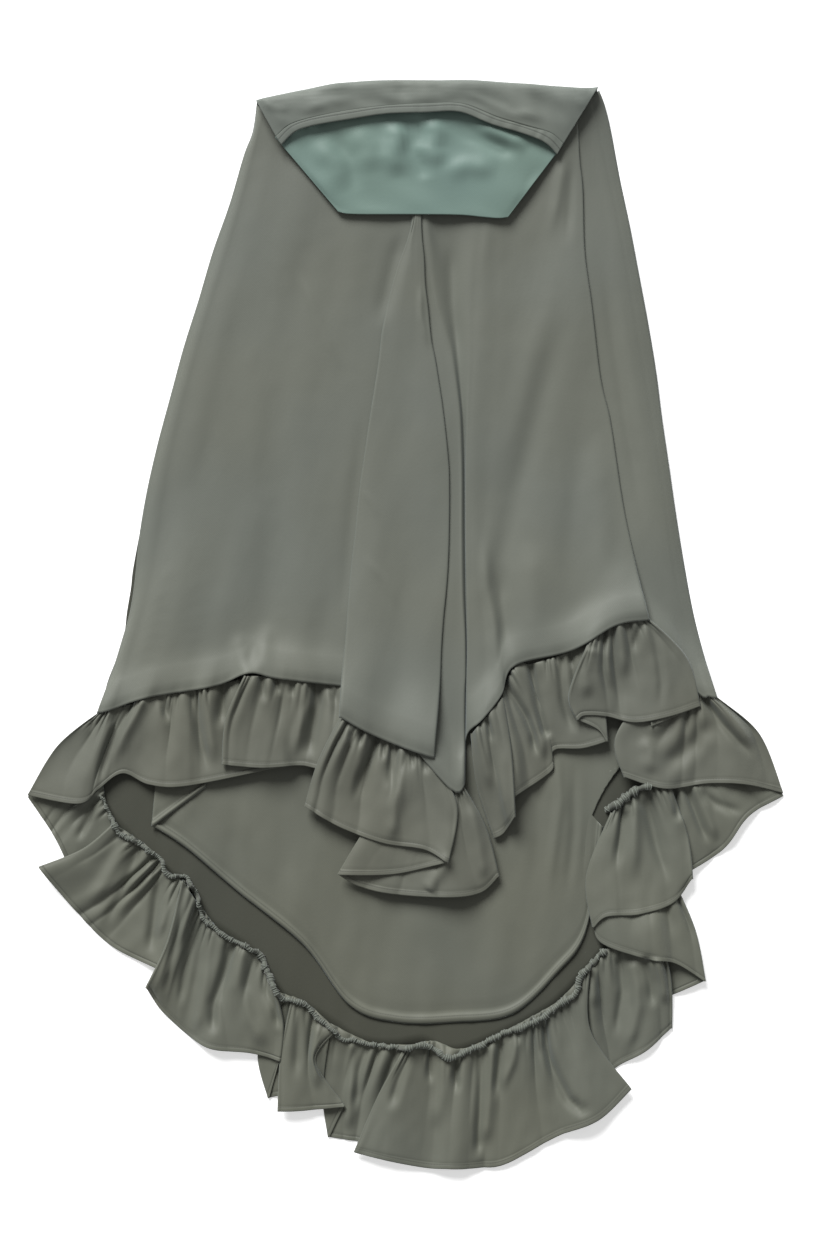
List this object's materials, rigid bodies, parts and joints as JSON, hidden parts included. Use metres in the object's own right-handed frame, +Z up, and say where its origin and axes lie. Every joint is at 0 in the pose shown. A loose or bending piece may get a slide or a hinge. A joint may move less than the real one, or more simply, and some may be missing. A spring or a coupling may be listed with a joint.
{
  "type": "khimar veil",
  "caption": "Hooded khimar cape laid flat, shorter in front than behind, with pleats, an inner veil layer and a gathered ruffle round its hem.",
  "frame": {"origin": "centre of the veil's plan outline, on the surface that it lies on", "axes": "+Y towards the hood along the veil's length, +X to the right of the veil seen from above, +Z up from the surface"},
  "size_m": [0.7929, 1.1385, 0.0257],
  "materials": {
    "grey_green_satin": "matt satin, soft sheen",
    "pale_teal_satin": "smooth satin lining",
    "overlock_thread": "looped overlock thread, matt"
  },
  "bodies": {
    "root": {"back_panel": "grey_green_satin", "back_ruffle": "grey_green_satin", "back_seam": "overlock_thread", "face_hem": "grey_green_satin", "front_panel": "grey_green_satin", "front_ruffle_centre": "grey_green_satin", "front_ruffle_left": "grey_green_satin", "front_ruffle_right": "grey_green_satin", "hood_crown": "grey_green_satin", "hood_lining": "pale_teal_satin", "inner_panel": "grey_green_satin", "side_ruffle": "grey_green_satin", "side_seam": "overlock_thread"}
  },
  "joints": []
}
